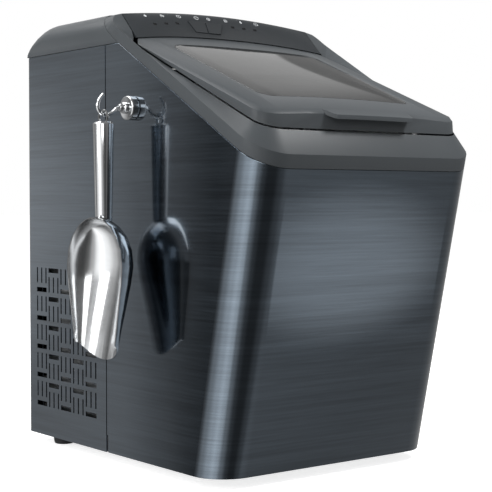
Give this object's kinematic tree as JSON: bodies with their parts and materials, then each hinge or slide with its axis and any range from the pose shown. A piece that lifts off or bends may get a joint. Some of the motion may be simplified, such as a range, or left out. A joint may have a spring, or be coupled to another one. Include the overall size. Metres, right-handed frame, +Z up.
{
  "type": "countertop ice maker",
  "caption": "Countertop ice maker with a forward-leaning cabinet, sloping lid with a window, buttons, vent grilles and a scoop on a side hook.",
  "frame": {"origin": "middle of the whole footprint, hook and scoop included, on the surface that the feet stand on", "axes": "+Z up, +X to the right seen from the front, +Y to the back; the lid and the buttons face -Y and up"},
  "size_m": [0.2702, 0.3444, 0.3795],
  "materials": {
    "dark_steel": "dark brushed stainless sheet under a clear coat",
    "grey_mould": "satin dark grey moulded plastic",
    "panel_mould": "fine satin darker grey plastic",
    "smoked_window": "smoked clear window",
    "light_plastic": "dark glossy light pipes",
    "circuit_board": "lacquered circuit board",
    "black_plastic": "black moulded plastic",
    "white_plastic": "white moulded plastic",
    "clear_plastic": "frosted plastic",
    "galvanised": "zinc-plated steel",
    "black_enamel": "black enamelled steel",
    "bare_aluminium": "bare aluminium",
    "copper": "drawn copper",
    "rubber": "dark grey rubber",
    "polished_steel": "polished steel"
  },
  "bodies": {
    "cabinet": {"front_wrap": "dark_steel", "left_side_sheet": "dark_steel", "right_side_sheet": "dark_steel", "left_seam_strip": "dark_steel", "right_seam_strip": "dark_steel", "back_sheet": "dark_steel", "rear_cap": "grey_mould", "top_frame": "grey_mould", "control_panel": "panel_mould", "left_indicator_lights": "light_plastic", "right_indicator_lights": "light_plastic", "control_board": "circuit_board", "left_hinge_bracket": "black_plastic", "right_hinge_bracket": "black_plastic", "base_pan": "galvanised", "foot_front_left": "rubber", "foot_front_right": "rubber", "foot_rear_left": "rubber", "foot_rear_right": "rubber", "water_tank": "white_plastic", "ice_chute": "white_plastic", "tray_motor": "black_plastic", "tray_bearing": "white_plastic", "evaporator": "bare_aluminium", "ice_sensor": "black_plastic", "water_pump": "black_plastic", "pump_hose": "clear_plastic", "compressor": "black_enamel", "condenser": "bare_aluminium", "fan_shroud": "black_plastic", "fan_motor": "galvanised", "filter_drier": "copper", "discharge_pipe": "copper", "suction_pipe": "copper", "hot_gas_pipe": "copper", "power_inlet": "black_plastic", "drain_spout": "black_plastic", "back_screw_1_left": "galvanised", "back_screw_1_right": "galvanised", "back_screw_2_left": "galvanised", "back_screw_2_right": "galvanised", "back_screw_3_left": "galvanised", "back_screw_3_right": "galvanised", "hook_magnet": "polished_steel"},
    "lid": {"lid_shell": "grey_mould", "lid_window": "smoked_window"},
    "basket": {"ice_basket": "clear_plastic"},
    "tray": {"water_tray": "white_plastic"},
    "pusher": {"ice_pusher": "black_plastic"},
    "power_key": {"power_button": "panel_mould"},
    "select_key": {"select_button": "panel_mould"},
    "fan": {"fan_rotor": "black_plastic"},
    "plug": {"drain_plug": "rubber"},
    "side_hook": {"hook": "polished_steel"},
    "scoop": {"scoop_ring": "polished_steel", "scoop_handle": "polished_steel", "scoop_bowl": "polished_steel"}
  },
  "joints": [
    {"name": "lid_hinge", "type": "hinge", "parent": "cabinet", "child": "lid", "pos_m": [0.02108, 0.00401, 0.343], "axis": [-1, 0, 0], "range_deg": [0, 95]},
    {"name": "basket_lift", "type": "slide", "parent": "cabinet", "child": "basket", "axis": [0, 0, 1], "range_m": [0, 0.05]},
    {"name": "tray_tilt", "type": "hinge", "parent": "cabinet", "child": "tray", "pos_m": [0.02108, -0.02199, 0.258], "axis": [-1, 0, 0], "range_deg": [0, 90]},
    {"name": "pusher_slide", "type": "slide", "parent": "cabinet", "child": "pusher", "axis": [0, -1, 0], "range_m": [0, 0.034]},
    {"name": "power_press", "type": "slide", "parent": "cabinet", "child": "power_key", "axis": [0, 0.8746, -0.4848], "range_m": [0, 0.0012], "stiffness_N_per_m": 400},
    {"name": "select_press", "type": "slide", "parent": "cabinet", "child": "select_key", "axis": [0, 0.8746, -0.4848], "range_m": [0, 0.0012], "stiffness_N_per_m": 400},
    {"name": "fan_spin", "type": "hinge", "parent": "cabinet", "child": "fan", "pos_m": [-0.05742, 0.09001, 0.095], "axis": [1, 0, 0], "continuous": true},
    {"name": "hook_swivel", "type": "hinge", "parent": "cabinet", "child": "side_hook", "pos_m": [-0.09992, -0.00849, 0.292], "axis": [1, 0, 0], "continuous": true},
    {"name": "scoop_swing", "type": "hinge", "parent": "side_hook", "child": "scoop", "pos_m": [-0.12092, -0.00849, 0.286], "axis": [1, 0, 0], "range_deg": [-60, 60]},
    {"name": "plug_pull", "type": "slide", "parent": "cabinet", "child": "plug", "axis": [0, 1, 0], "range_m": [0, 0.014]}
  ],
  "couplings": [
    {"joint": "pusher_slide", "follows": "tray_tilt", "m_per_rad": 0.02}
  ]
}
